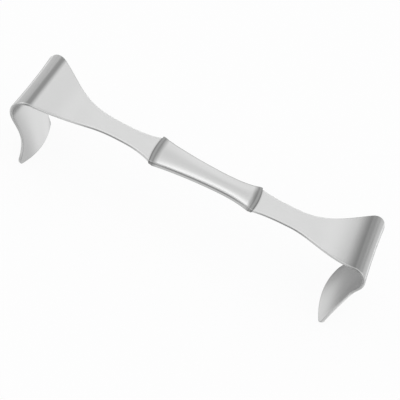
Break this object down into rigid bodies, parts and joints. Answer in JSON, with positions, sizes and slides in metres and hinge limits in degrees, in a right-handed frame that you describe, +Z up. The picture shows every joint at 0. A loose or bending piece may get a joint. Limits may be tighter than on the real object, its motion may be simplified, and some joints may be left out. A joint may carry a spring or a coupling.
{
  "type": "handheld surgical retractor",
  "caption": "Double-ended handheld surgical retractor in stainless steel, with a dished finger grip between swan-neck arms that fold over into saddle-shaped blades.",
  "frame": {"origin": "on the surface that both blade ends stand on, in the middle of the length and width", "axes": "+X along the handle towards the wider blade, +Y across it, +Z up from the blade ends towards the dished back of the grip"},
  "size_m": [0.1636, 0.036, 0.0408],
  "materials": {
    "steel": "satin stainless steel"
  },
  "bodies": {
    "root": {"retractor": "steel"}
  },
  "joints": []
}
